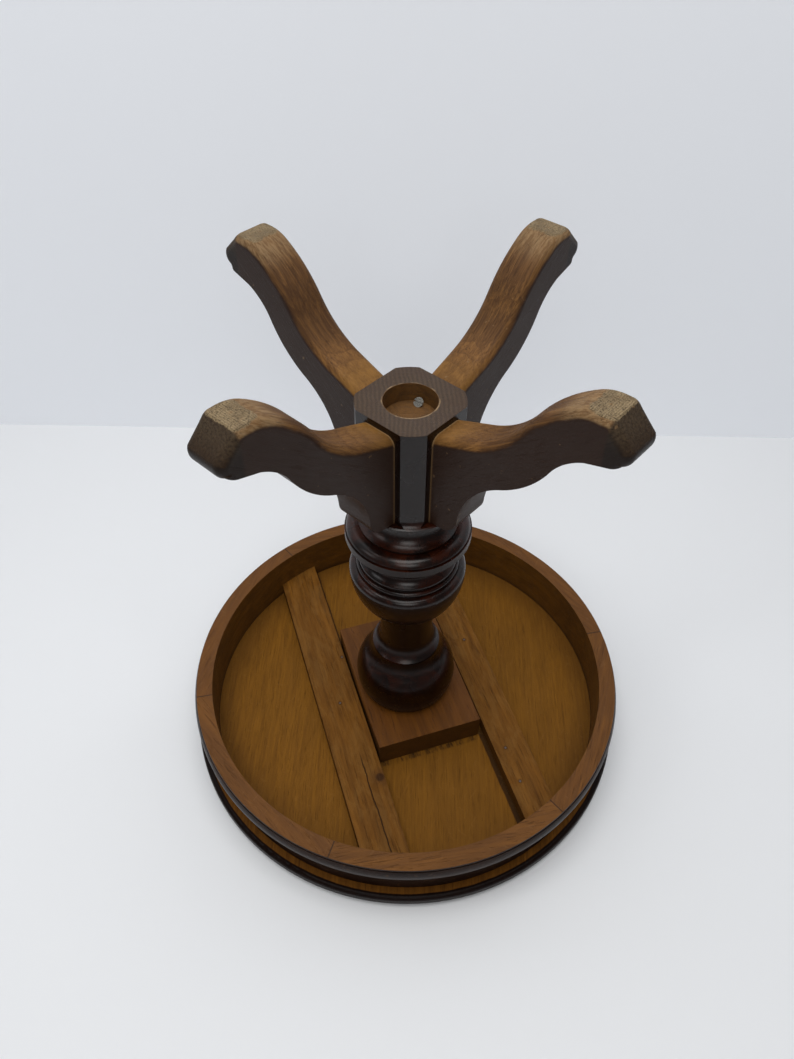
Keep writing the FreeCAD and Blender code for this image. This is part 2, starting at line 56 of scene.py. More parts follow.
class Axis(Enum):
    """A part of a vector, by its place in Separate XYZ."""

    X = 0
    Y = 1
    Z = 2


# ---------------------------------------------------------------- node helpers
# Turns the width of a growth ring into the scale of a Wave texture.
RING_SCALE = 0.314


class Graph:
    """A node tree with short calls that add nodes and wire them."""

    def __init__(self, tree: bpy.types.NodeTree) -> None:
        """Keeps the tree and empties it.

        Args:
            tree: the node tree of a material, a world or a group.
        """
        self.tree = tree
        self.tree.nodes.clear()

    def add(self, kind: str, inputs: dict[Any, Any] | None = None, **settings: Any) -> bpy.types.Node:
        """Adds a node.

        Args:
            kind: the node's type name, without its ShaderNode prefix.
            inputs: values or output sockets, by input name or number.
            settings: attributes of the node, such as operation.

        Returns:
            The new node.
        """
        node = self.tree.nodes.new(f"ShaderNode{kind}")
        for name, value in settings.items():
            setattr(node, name, value)
        for key, value in (inputs or {}).items():
            self.feed(node.inputs[key], value)
        return node

    def feed(self, socket: Socket, value: Any) -> None:
        """Links an output to an input socket, or sets the socket's own value."""
        if isinstance(value, bpy.types.NodeSocket):
            self.tree.links.new(value, socket)
        elif isinstance(value, tuple) and len(value) == 3 and socket.type == "RGBA":
            socket.default_value = (*value, 1.0)
        else:
            socket.default_value = value

    def math(self, operation: str, first: Any, second: Any = 0.0) -> Socket:
        """Returns the result of a Math node."""
        return self.add("Math", {0: first, 1: second}, operation=operation).outputs[0]

    def both(self, first: Any, second: Any) -> Socket:
        """Returns the product of two masks."""
        return self.math("MULTIPLY", first, second)

    def either(self, first: Any, second: Any) -> Socket:
        """Returns the larger of two masks."""
        return self.math("MAXIMUM", first, second)

    def rest(self, mask: Any) -> Socket:
        """Returns one minus a mask."""
        return self.math("SUBTRACT", 1.0, mask)

    def ramp(self, value: Any, low: float, high: float,
             to_low: float = 0.0, to_high: float = 1.0) -> Socket:
        """Eases a value from one number to another between two limits.

        Args:
            value: the driving value.
            low: limit where the result is to_low.
            high: limit where the result is to_high.
            to_low: result at and below low.
            to_high: result at and above high.

        Returns:
            The eased value.
        """
        if low > high:
            low, high, to_low, to_high = high, low, to_high, to_low
        inputs = {"Value": value, "From Min": low, "From Max": high,
                  "To Min": to_low, "To Max": to_high}
        return self.add("MapRange", inputs, interpolation_type="SMOOTHSTEP").outputs["Result"]

    def between(self, mask: Any, off: float, on: float) -> Socket:
        """Returns a value that goes from one number to another with a mask."""
        return self.ramp(mask, 0.0, 1.0, off, on)

    def mix(self, mask: Any, under: Any, over: Any) -> Socket:
        """Returns one colour laid over another where a mask is one."""
        node = self.add("Mix", data_type="RGBA", clamp_factor=True)
        for key, value in ((MIX_SHARE, mask), (MIX_UNDER, under), (MIX_OVER, over)):
            self.feed(node.inputs[key], value)
        return node.outputs[MIX_RESULT]

    def part(self, vector: Socket, axis: Axis) -> Socket:
        """Returns one part of a vector."""
        return self.add("SeparateXYZ", {0: vector}).outputs[axis.value]

    def plus(self, first: Socket, second: Socket) -> Socket:
        """Returns the sum of two vectors."""
        return self.add("VectorMath", {0: first, 1: second}, operation="ADD").outputs[0]

    def turned(self, vector: Socket, angles: Sequence[float], scale: Sequence[float] = (1, 1, 1)) -> Socket:
        """Returns a vector scaled, then turned about X, Y and Z."""
        inputs = {"Vector": vector, "Rotation": tuple(angles), "Scale": tuple(scale)}
        return self.add("Mapping", inputs).outputs[0]

    def spun(self, vector: Socket, angle: float) -> Socket:
        """Returns a vector turned about Z."""
        return self.turned(vector, (0, 0, angle))

    def scaled(self, vector: Socket, scale: Sequence[float]) -> Socket:
        """Returns a vector scaled along X, Y and Z."""
        return self.turned(vector, (0, 0, 0), scale)

    def moved(self, vector: Socket, offset: Sequence[float]) -> Socket:
        """Returns a vector moved by an offset."""
        return self.add("Mapping", {"Vector": vector, "Location": tuple(offset)}).outputs[0]

    def noise(self, vector: Socket, scale: Any, detail: float = 3.0,
              rough: float = 0.5, bend: float = 0.0) -> Socket:
        """Returns a noise value around a half."""
        inputs = {"Vector": vector, "Scale": scale, "Detail": detail,
                  "Roughness": rough, "Distortion": bend}
        return self.add("TexNoise", inputs).outputs[0]

    def waver(self, vector: Socket, scale: float, amount: Any,
              detail: float = 3.0, rough: float = 0.5) -> Socket:
        """Returns a noise value around zero, as strong as an amount."""
        return self.both(self.math("SUBTRACT", self.noise(vector, scale, detail, rough), 0.5), amount)

    def place(self) -> Socket:
        """Returns the place on the object, in metres."""
        return self.add("TexCoord").outputs["Object"]

    def facing(self, axis: Axis) -> Socket:
        """Returns one part of the surface's normal."""
        return self.part(self.add("NewGeometry").outputs["Normal"], axis)

    def radius(self, vector: Socket) -> Socket:
        """Returns the distance from the Z axis."""
        flat = self.add("VectorMath", {0: vector, 1: (1.0, 1.0, 0.0)}, operation="MULTIPLY").outputs[0]
        return self.add("VectorMath", {0: flat}, operation="LENGTH").outputs["Value"]

    def band(self, value: Socket, low: float, high: float, soft: float) -> Socket:
        """Returns a mask that is one between two limits, with soft ends."""
        rise = self.ramp(value, low - soft, low + soft)
        return self.both(rise, self.ramp(value, high + soft, high - soft))


class EffectGroup:
    """A shader node group that more than one material uses."""

    name = "effect"
    inputs: dict[str, tuple[str, float]] = {}
    outputs: tuple[str, ...] = ()

    def tree(self) -> bpy.types.NodeTree:
        """Returns the group's tree, made the first time it is asked for."""
        made = bpy.data.node_groups.get(self.name)
        if made is not None:
            return made
        tree = bpy.data.node_groups.new(self.name, "ShaderNodeTree")
        tree.interface.new_socket("Vector", in_out="INPUT", socket_type="NodeSocketVector")
        for label, (kind, value) in self.inputs.items():
            socket = tree.interface.new_socket(label, in_out="INPUT", socket_type=kind)
            socket.default_value = value
        for label in self.outputs:
            tree.interface.new_socket(label, in_out="OUTPUT", socket_type="NodeSocketFloat")
        graph = Graph(tree)
        given = tree.nodes.new("NodeGroupInput")
        wanted = tree.nodes.new("NodeGroupOutput")
        for label, value in self.draw(graph, given.outputs).items():
            graph.feed(wanted.inputs[label], value)
        return tree

    def seeded(self, graph: Graph, given: Any, along: str = "XYZ") -> Socket:
        """Returns the coordinates, moved by the seed along the named axes."""
        offset = {axis.value: given["Seed"] if axis.name in along else 0.0 for axis in Axis}
        return graph.plus(given["Vector"], graph.add("CombineXYZ", offset).outputs[0])

    def draw(self, graph: Graph, given: Any) -> dict[str, Socket]:
        """Adds the effect's nodes; each effect has its own.

        Args:
            graph: the group's tree.
            given: the group's input sockets, by label.

        Returns:
            The sockets that feed the group's outputs, by label.
        """
        raise NotImplementedError

    def use(self, graph: Graph, vector: Socket, **values: float) -> Any:
        """Places the group in a material.

        Args:
            graph: the material's tree.
            vector: the coordinates the effect is laid out in.
            values: input values, by label.

        Returns:
            The group node's output sockets.
        """
        node = graph.add("Group", node_tree=self.tree())
        graph.feed(node.inputs["Vector"], vector)
        for label, value in values.items():
            graph.feed(node.inputs[label], value)
        return node.outputs


class LongGrain(EffectGroup):
    """Grain along X: growth rings about a far pith, broad figure, fibres and short dark pores."""

    name = "long_grain"
    inputs = {
        "Width": ("NodeSocketFloat", 0.004),
        "Wander": ("NodeSocketFloat", 0.01),
        "Ring": ("NodeSocketFloat", 0.005),
        "Pith": ("NodeSocketFloat", 0.06),
        "Seed": ("NodeSocketFloat", 0.0),
    }
    outputs = ("Figure", "Fibre", "Pores", "Rings")

    def draw(self, graph: Graph, given: Any) -> dict[str, Socket]:
        """Draws bands that wander, fine fibres, and pores in the open bands."""
        start = self.seeded(graph, given)
        drift = graph.waver(graph.scaled(start, (1, 3, 3)), 6.0, given["Wander"], 2.0)
        shift = graph.add("CombineXYZ", {0: 0.0, 1: drift, 2: drift}).outputs[0]
        bent = graph.plus(start, shift)
        density = graph.math("DIVIDE", 1.0, given["Width"])
        broad = graph.scaled(bent, (0.035, 0.3, 0.3))
        figure = graph.ramp(graph.noise(broad, density, 4.0, 0.55, 0.6), 0.3, 0.7)
        fine = graph.scaled(bent, (0.03, 1.0, 1.0))
        fibre = graph.ramp(graph.noise(fine, density, 5.0, 0.7, 0.2), 0.25, 0.75)
        short = graph.scaled(bent, (0.09, 3.0, 3.0))
        pores = graph.ramp(graph.noise(short, density, 2.0, 0.6), 0.6, 0.7)
        return {"Figure": figure, "Fibre": fibre, "Pores": pores, "Rings": self.rings(graph, given, start)}

    def rings(self, graph: Graph, given: Any, start: Socket) -> Socket:
        """Returns the dark late wood of growth rings about a pith below and beside the piece."""
        beside = graph.both(given["Pith"], 0.6)
        pith = graph.add("CombineXYZ", {0: 0.0, 1: beside, 2: given["Pith"]}).outputs[0]
        off = graph.waver(graph.scaled(start, (0.25, 1, 1)), 22.0, 0.012)
        sway = graph.add("CombineXYZ", {0: 0.0, 1: off, 2: off}).outputs[0]
        centred = graph.plus(graph.plus(given["Vector"], pith), sway)
        inputs = {
            "Vector": graph.turned(centred, (0, 0.02, 0.03)),
            "Scale": graph.math("DIVIDE", RING_SCALE, given["Ring"]),
        }
        wave = graph.add("TexWave", inputs, wave_type="RINGS", rings_direction="X", wave_profile="SAW")
        return graph.math("POWER", wave.outputs[1], 3.0)


class EndGrain(EffectGroup):
    """Cut ends of the wood: growth rings about Z, with open pores and saw marks."""

    name = "end_grain"
    inputs = {"Ring": ("NodeSocketFloat", 0.003), "Seed": ("NodeSocketFloat", 0.0)}
    outputs = ("Rings", "Specks", "Saw")

    def draw(self, graph: Graph, given: Any) -> dict[str, Socket]:
        """Draws wavering rings, specks and straight saw scratches."""
        density = graph.math("DIVIDE", 0.3, given["Ring"])
        start = self.seeded(graph, given, "XZ")
        inputs = {"Vector": start, "Scale": density, "Distortion": 3.0, "Detail": 3.0, "Detail Scale": 1.2}
        wave = graph.add("TexWave", inputs, wave_type="RINGS", rings_direction="Z").outputs[1]
        specks = graph.ramp(graph.noise(start, 900.0, 2.0, 0.6), 0.55, 0.68)
        long_way = graph.turned(start, (0, 0, 0.5), (0.04, 1.0, 1.0))
        saw = graph.ramp(graph.noise(long_way, 700.0, 3.0, 0.6), 0.4, 0.7)
        return {"Rings": wave, "Specks": specks, "Saw": saw}


class Blotch(EffectGroup):
    """Slow unevenness of a stain or of handling."""

    name = "blotch"
    inputs = {"Size": ("NodeSocketFloat", 0.08), "Seed": ("NodeSocketFloat", 0.0)}
    outputs = ("Soft", "Patchy")

    def draw(self, graph: Graph, given: Any) -> dict[str, Socket]:
        """Draws a soft field and a patchy one."""
        start = self.seeded(graph, given, "XY")
        density = graph.math("DIVIDE", 1.0, given["Size"])
        soft = graph.ramp(graph.noise(start, density, 2.0, 0.5), 0.25, 0.75)
        patchy = graph.ramp(graph.noise(start, graph.both(density, 2.7), 6.0, 0.65, 0.8), 0.42, 0.62)
        return {"Soft": soft, "Patchy": patchy}


class Scuffs(EffectGroup):
    """Fine scratches and small knocks."""

    name = "scuffs"
    inputs = {"Seed": ("NodeSocketFloat", 0.0)}
    outputs = ("Scratches", "Knocks")

    def draw(self, graph: Graph, given: Any) -> dict[str, Socket]:
        """Draws thin crossing scratches and scattered knocks."""
        start = self.seeded(graph, given)
        strokes = []
        for angle in (0.6, 2.1):
            along = graph.scaled(graph.turned(start, (0.3, 0.2, angle)), (0.05, 1.0, 1.0))
            strokes.append(graph.ramp(graph.noise(along, 320.0, 1.0, 0.4), 0.69, 0.73))
        knocks = graph.ramp(graph.noise(start, 160.0, 2.0, 0.6), 0.7, 0.74)
        return {"Scratches": graph.either(*strokes), "Knocks": knocks}


GRAIN = LongGrain()
CUT_END = EndGrain()
BLOTCH = Blotch()
SCUFFS = Scuffs()


# ---------------------------------------------------------------- finishes
@dataclass(frozen=True)
class Stain:
    """Linear colours of one wood: light grain, dark grain and pores."""

    light: Colour
    dark: Colour
    pore: Colour


@dataclass(frozen=True)
class Tint:
    """A colour laid over a finish, and how strongly where its mask is one."""

    colour: Colour
    share: float


@dataclass(frozen=True)
class Sheen:
    """How a surface shines, and how far a height of one stands out, in metres."""

    specular: float
    depth: float


# Stains of the bare and the stained wood.
BARE_PANEL = Stain((0.235, 0.098, 0.0085), (0.135, 0.053, 0.0045), (0.055, 0.022, 0.003))
BARE_BATTEN = Stain((0.215, 0.086, 0.0110), (0.095, 0.036, 0.0045), (0.030, 0.012, 0.003))
BLOCK_STAIN = Stain((0.175, 0.060, 0.0060), (0.080, 0.026, 0.0028), (0.024, 0.008, 0.002))
FACE_STAIN = Stain((0.205, 0.078, 0.0090), (0.085, 0.031, 0.0040), (0.028, 0.011, 0.003))
INNER_STAIN = Stain((0.17, 0.068, 0.0075), (0.080, 0.031, 0.0036), (0.024, 0.009, 0.002))
ESPRESSO = Stain((0.0095, 0.0024, 0.0008), (0.0040, 0.0011, 0.0005), (0.0022, 0.0007, 0.0004))
UNDER_STAIN = Stain((0.265, 0.125, 0.034), (0.070, 0.028, 0.0080), (0.022, 0.009, 0.004))
RAW_WOOD = Stain((0.42, 0.32, 0.180), (0.20, 0.142, 0.076), (0.045, 0.030, 0.018))
HUB_END = Stain((0.130, 0.078, 0.040), (0.040, 0.022, 0.011), (0.014, 0.008, 0.004))
BORE_STAIN = Stain((0.16, 0.070, 0.012), (0.055, 0.022, 0.004), (0.018, 0.008, 0.003))

# Shade, handling and wear on the round top.
PANEL_SHADE = Tint((0.125, 0.052, 0.006), 0.40)
PANEL_PALE = Tint((0.33, 0.15, 0.025), 0.05)
# Painted shade: the panel darkens towards the ring's inner wall.
PANEL_EDGE_SHADE = Tint((0.075, 0.030, 0.005), 0.45)
PANEL_SCRATCH = Tint((0.36, 0.18, 0.05), 0.06)
# Painted shadow with old glue beside the battens, and glue by the block.
GLUE_AND_SHADOW = Tint((0.020, 0.0085, 0.003), 0.85)
# On the ring.
SEGMENT_TONE = Tint((0.115, 0.040, 0.008), 0.6)
FACE_SHADE = Tint((0.10, 0.040, 0.010), 0.35)
JOINT_GLUE = Tint((0.018, 0.008, 0.003), 0.8)
# Painted highlight on the bead at the outer edge of the face.
BEAD_HIGHLIGHT = Tint((0.34, 0.19, 0.07), 0.5)
WALL_SHADE = Tint((0.055, 0.022, 0.004), 0.3)
# Painted shade at the foot of the inner wall.
WALL_FOOT_SHADE = Tint((0.03, 0.012, 0.003), 0.6)
MOULDING_SHADE = Tint((0.035, 0.012, 0.004), 0.35)
RING_SCRATCH = Tint((0.28, 0.14, 0.05), 0.10)
# On the battens and the block.
BATTEN_SHADE = Tint((0.10, 0.042, 0.009), 0.35)
BATTEN_PALE = Tint((0.30, 0.16, 0.045), 0.15)
# Painted shade on the faces that don't look up.
BATTEN_SIDE_SHADE = Tint((0.05, 0.020, 0.004), 0.5)
RUST_HALO = Tint((0.022, 0.011, 0.006), 0.7)
KNOT_RING = Tint((0.09, 0.036, 0.009), 0.5)
KNOT_EYE = Tint((0.030, 0.012, 0.005), 0.8)
DRY_CRACK = Tint((0.012, 0.006, 0.003), 0.85)
BLOCK_SHADE = Tint((0.085, 0.030, 0.004), 0.4)
# Painted shade on the block's sides.
BLOCK_SIDE_SHADE = Tint((0.045, 0.022, 0.007), 0.6)
# On the column and its hub.
# Painted light: red on the faces that look up.
RED_TOP_LIGHT = Tint((0.085, 0.014, 0.002), 0.35)
COLUMN_SCRATCH = Tint((0.12, 0.07, 0.045), 0.05)
HUB_DIRT = Tint((0.045, 0.023, 0.013), 0.45)
BORE_RIM = Tint((0.36, 0.24, 0.12), 0.8)
# On the legs.
SIDE_HAZE = Tint((0.036, 0.0165, 0.0090), 0.65)
UNDER_SHADE = Tint((0.052, 0.023, 0.009), 0.50)
HUB_GLOW = Tint((0.30, 0.145, 0.027), 0.55)
TOE_HAZE = Tint((0.015, 0.009, 0.0048), 0.5)
TOE_HATCH = Tint((0.11, 0.080, 0.046), 0.40)
KNOCK = Tint((0.22, 0.13, 0.06), 0.5)
SPIGOT_END = Tint((0.33, 0.20, 0.09), 0.7)
PAD_DIRT = Tint((0.13, 0.088, 0.046), 0.55)
UNDER_DARK = (0.050, 0.022, 0.009)
BALD_WOOD = (0.26, 0.17, 0.085)
# Metals.
NAIL_STEEL = (0.10, 0.09, 0.085)
NAIL_RUST = (0.075, 0.028, 0.012)
SCREW_DULL = (0.13, 0.125, 0.11)
SCREW_BRIGHT = (0.24, 0.23, 0.21)

PANEL_SHEEN = Sheen(0.10, 0.0003)
RING_SHEEN = Sheen(0.22, 0.0005)
BATTEN_SHEEN = Sheen(0.08, 0.0005)
BLOCK_SHEEN = Sheen(0.16, 0.0004)
NAIL_SHEEN = Sheen(0.5, 0.0001)
COLUMN_SHEEN = Sheen(0.38, 0.0003)
LEG_SHEEN = Sheen(0.17, 0.0007)
SCREW_SHEEN = Sheen(0.5, 0.00005)
DOWEL_SHEEN = Sheen(0.28, 0.0002)
MATT_ROUGH = 0.62
SATIN_ROUGH = 0.34


class Finish:
    """A wooden finish, put on a CAD node or a new piece as one material."""

    def __init__(self, name: str) -> None:
        """Starts an empty material."""
        self.material = bpy.data.materials.new(name)
        self.material.use_nodes = True
        self.graph = Graph(self.material.node_tree)

    def shade(self, colour: Any, rough: Any, height: Any, sheen: Sheen) -> None:
        """Ends the material in a Principled shader.

        Args:
            colour: base colour, linked or plain.
            rough: roughness, linked or plain.
            height: surface height from 0 to 1.
            sheen: gloss and depth of the finish.
        """
        graph = self.graph
        relief = {"Height": height, "Distance": sheen.depth, "Strength": 1.0}
        bump = graph.add("Bump", relief).outputs[0]
        shader = graph.add("BsdfPrincipled", {"Base Color": colour, "Roughness": rough, "Normal": bump})
        shader.inputs["Specular IOR Level"].default_value = sheen.specular
        graph.tree.links.new(shader.outputs[0], graph.add("OutputMaterial").inputs[0])

    def wood(self, stain: Stain, grain: Any, figure: float = 0.6, rings: float = 0.3) -> Socket:
        """Returns the colour of a stain over a grain.

        Args:
            stain: the colours.
            grain: outputs of a long_grain group.
            figure: how much the broad figure counts against the fibres.
            rings: how dark the late wood of the growth rings is.

        Returns:
            The colour.
        """
        graph = self.graph
        broad = graph.both(grain["Figure"], figure)
        share = graph.math("ADD", broad, graph.both(grain["Fibre"], 1.0 - figure))
        share = graph.both(share, graph.rest(graph.both(grain["Rings"], rings)))
        base = graph.mix(share, stain.dark, stain.light)
        return graph.mix(graph.both(grain["Pores"], 0.55), base, stain.pore)

    def cut_end(self, stain: Stain, end: Any, rings: float, specks: float) -> Socket:
        """Returns the colour of end grain, with light rings and open pores of a given strength."""
        graph = self.graph
        colour = graph.mix(graph.both(end["Rings"], rings), stain.dark, stain.light)
        return graph.mix(graph.both(end["Specks"], specks), colour, stain.pore)

    def tint(self, colour: Any, mask: Any, tint: Tint) -> Socket:
        """Returns a colour with a tint laid over it where the mask is."""
        return self.graph.mix(self.graph.both(mask, tint.share), colour, tint.colour)

    def relief(self, grain: Any, fibre: float, pores: float) -> Socket:
        """Returns a height where the fibres stand out and the pores are cut in."""
        graph = self.graph
        raised = graph.both(grain["Fibre"], fibre)
        return graph.math("SUBTRACT", raised, graph.both(grain["Pores"], pores))

    def put_on(self, piece: bpy.types.Object) -> None:
        """Puts the material in the piece's first slot."""
        piece.data.materials.clear()
        piece.data.materials.append(self.material)


@dataclass(frozen=True)
class Paint:
    """Colour of a plane of the stage, and how much it shines by itself."""

    colour: Colour
    glow: float


@dataclass(frozen=True)
class Lamp:
    """A square soft light that points at a place, in metres and watts."""

    name: str
    place: tuple[float, float, float]
    aim: tuple[float, float, float]
    side: float
    watts: float
    tint: Colour


@dataclass
class StudioStage:
    """Pale floor and wall, soft lights, and the camera, in metres, degrees and millimetres of lens."""

    half_width: float = 4.0
    wall_distance: float = 0.49
    floor: Paint = Paint((0.76, 0.775, 0.795), 0.05)
    wall: Paint = Paint((0.64, 0.66, 0.695), 0.38)
    air: Paint = Paint((0.97, 0.975, 1.0), 0.11)
    lamps: tuple[Lamp, ...] = (
        Lamp("ceiling", (-0.12, -0.12, 2.1), (0.0, 0.0, 0.0), 1.5, 29.0, (1.0, 0.985, 0.965)),
        Lamp("window", (-1.5, -0.5, 1.3), (0.0, 0.0, 0.2), 0.6, 2.5, (0.98, 0.985, 1.0)),
        Lamp("doorway", (0.0, -1.7, 1.55), (0.0, 0.0, 0.15), 0.9, 8.0, (1.0, 0.99, 0.97)),
    )
    eye: tuple[float, float, float] = (0.0, -0.5247, 0.8324)
    sensor: float = 36.0
    lens: float = 28.035
    heading: float = 1.116
    downward: float = 46.16
    roll: float = 0.288

    def backdrop_material(self, name: str, paint: Paint) -> bpy.types.Material:
        """Returns a plain pale material, seen only from its front.

        Args:
            name: the material's name.
            paint: its colour and glow.

        Returns:
            The material.
        """
        material = bpy.data.materials.new(name)
        material.use_nodes = True
        graph = Graph(material.node_tree)
        inputs = {"Base Color": paint.colour, "Roughness": 0.85, "Emission Color": paint.colour}
        shader = graph.add("BsdfPrincipled", inputs)
        shader.inputs["Emission Strength"].default_value = paint.glow
        shader.inputs["Specular IOR Level"].default_value = 0.1
        clear = graph.add("BsdfTransparent")
        back = graph.add("NewGeometry").outputs["Backfacing"]
        both = graph.add("MixShader", {0: back, 1: shader.outputs[0], 2: clear.outputs[0]})
        graph.tree.links.new(both.outputs[0], graph.add("OutputMaterial").inputs[0])
        return material

    def plane(self, name: str, matrix: Matrix, paint: Paint) -> None:
        """Adds one plane of the stage."""
        mesh = bpy.data.meshes.new(name)
        shape = bmesh.new()
        bmesh.ops.create_grid(shape, x_segments=1, y_segments=1, size=self.half_width, matrix=matrix)
        shape.to_mesh(mesh)
        shape.free()
        mesh.materials.append(self.backdrop_material(f"{name}_paint", paint))
        plane = bpy.data.objects.new(name, mesh)
        bpy.context.scene.collection.objects.link(plane)

    def light(self, lamp: Lamp) -> None:
        """Adds one light."""
        data = bpy.data.lights.new(lamp.name, "AREA")
        data.shape = "SQUARE"
        data.size = lamp.side
        data.energy = lamp.watts
        data.color = lamp.tint
        light = bpy.data.objects.new(lamp.name, data)
        light.location = lamp.place
        beam = Vector(lamp.aim) - Vector(lamp.place)
        light.rotation_euler = beam.to_track_quat("-Z", "Y").to_euler()
        bpy.context.scene.collection.objects.link(light)

    def camera(self) -> None:
        """Sets the camera above the front of the table, looking steeply down."""
        data = bpy.data.cameras.new("view")
        data.sensor_fit = "VERTICAL"
        data.sensor_width = self.sensor
        data.sensor_height = self.sensor
        data.lens = self.lens
        camera = bpy.data.objects.new("view", data)
        camera.location = self.eye
        heading = Matrix.Rotation(math.radians(self.heading), 4, "Z")
        tilt = Matrix.Rotation(math.radians(90.0 - self.downward), 4, "X")
        roll = Matrix.Rotation(math.radians(self.roll), 4, "Z")
        camera.rotation_euler = (heading @ tilt @ roll).to_euler()
        bpy.context.scene.collection.objects.link(camera)
        bpy.context.scene.camera = camera

    def build(self) -> None:
        """Builds the stage."""
        scene = bpy.context.scene
        scene.view_settings.view_transform = "Standard"
        world = bpy.data.worlds.new("studio_air")
        scene.world = world
        world.use_nodes = True
        graph = Graph(world.node_tree)
        air = graph.add("Background", {"Color": self.air.colour, "Strength": self.air.glow})
        graph.tree.links.new(air.outputs[0], graph.add("OutputWorld").inputs[0])
        self.plane("studio_floor", Matrix.Identity(4), self.floor)
        upright = Matrix.Translation((0, self.wall_distance, 0)) @ Matrix.Rotation(QUARTER, 4, "X")
        self.plane("studio_wall", upright, self.wall)
        for lamp in self.lamps:
            self.light(lamp)
        self.camera()
        LOG.info("stage ready")


def soften(node: bpy.types.Object, width: float) -> None:
    """Rounds the sharp edges of a CAD node.

    Args:
        node: the node, whose mesh stays as it is under the modifiers.
        width: width of the rounding, in metres.
    """
    weld = node.modifiers.new("joined_faces", "WELD")
    weld.merge_threshold = 0.00001
    bevel = node.modifiers.new("soft_edges", "BEVEL")
    bevel.width = width
    bevel.segments = 2
    bevel.limit_method = "ANGLE"
    bevel.angle_limit = math.radians(40.0)


# ---------------------------------------------------------------- round top
@dataclass
class RoundTop:
    """The round top, show face down: bare panel inside the ring, polished rim outside it."""

    node: bpy.types.Object
    inner: float = 0.211
    rim: float = 0.2285
    under: float = 0.018
    ledge: float = 0.2155
    left_strip: tuple[float, float] = (-0.057, -0.0525)
    right_strip: tuple[float, float] = (0.0595, 0.0655)
    glue_strip: tuple[float, float] = (-0.0835, -0.077)
    glue_reach: tuple[float, float] = (-0.056, 0.060)

    def dress(self) -> None:
        """Puts panel, ledge and rim on the top."""
        finish = Finish("bare_panel_and_rim")
        graph = finish.graph
        place = graph.place()
        radius = graph.radius(place)
        lengthwise = graph.spun(place, -QUARTER)
        grain = GRAIN.use(graph, lengthwise, Width=0.0022, Wander=0.014, Seed=3.1)
        spots = BLOTCH.use(graph, graph.turned(place, (0, 0, 0.1), (1, 0.35, 1)), Size=0.045, Seed=1.7)
        scuffs = SCUFFS.use(graph, place, Seed=2.0)
        panel = finish.wood(BARE_PANEL, grain, 0.35, 0.12)
        panel = finish.tint(panel, spots["Soft"], PANEL_SHADE)
        panel = finish.tint(panel, spots["Patchy"], PANEL_PALE)
        # Painted shade: the panel darkens towards the ring's inner wall.
        edge = graph.ramp(radius, self.inner - 0.040, self.inner - 0.002)
        panel = finish.tint(panel, edge, PANEL_EDGE_SHADE)
        panel = self.glue_and_shadow_strips(finish, place, panel)
        panel = finish.tint(panel, scuffs["Scratches"], PANEL_SCRATCH)
        ledge_grain = GRAIN.use(graph, lengthwise, Width=0.0022, Wander=0.01, Seed=8.0)
        ledge = finish.wood(FACE_STAIN, ledge_grain, 0.4)
        rim = finish.wood(ESPRESSO, ledge_grain, 0.5)
        beyond = graph.ramp(radius, self.ledge, self.ledge + 0.001)
        colour = graph.mix(beyond, panel, ledge)
        ragged = graph.math("ADD", radius, graph.both(graph.noise(place, 60.0, 3.0), 0.0012))
        below = graph.ramp(graph.part(place, Axis.Z), self.under - 0.0002, self.under - 0.0012)
        dark = graph.either(graph.ramp(ragged, self.rim, self.rim + 0.001), below)
        colour = graph.mix(dark, colour, rim)
        rough = graph.between(dark, MATT_ROUGH, SATIN_ROUGH)
        rough = graph.math("ADD", rough, graph.both(grain["Fibre"], 0.06))
        finish.shade(colour, rough, finish.relief(grain, 0.35, 0.5), PANEL_SHEEN)
        finish.put_on(self.node)
        LOG.info("top_board dressed")

    def glue_and_shadow_strips(self, finish: Finish, place: Socket, panel: Socket) -> Socket:
        """Adds dark strips of painted shadow with old glue beside the battens, and a streaky glue strip by
        the block.

        Args:
            finish: the panel's finish.
            place: Object coordinates.
            panel: the panel's colour so far.

        Returns:
            The panel's colour with the strips.
        """
        graph = finish.graph
        local = graph.spun(place, -FRAME_TURN)
        waver = graph.waver(local, 45.0, 0.003)
        across = graph.math("ADD", graph.part(local, Axis.X), waver)
        along = graph.math("ADD", graph.part(local, Axis.Y), waver)
        left = graph.both(graph.band(across, *self.left_strip, 0.0008), graph.ramp(along, 0.07, 0.08))
        right = graph.both(graph.band(across, *self.right_strip, 0.0008), graph.ramp(along, -0.060, -0.080))
        strip = graph.band(along, *self.glue_strip, 0.0015)
        glue = graph.both(strip, graph.band(across, *self.glue_reach, 0.001))
        streaky = graph.ramp(graph.noise(graph.scaled(local, (1, 0.3, 1)), 140.0, 4.0, 0.7), 0.42, 0.62)
        marks = graph.either(graph.either(left, right), graph.both(glue, streaky))
        # The strips beside the battens are painted shadow with old glue; the streaky strip by the block is
        # glue.
        return finish.tint(panel, marks, GLUE_AND_SHADOW)


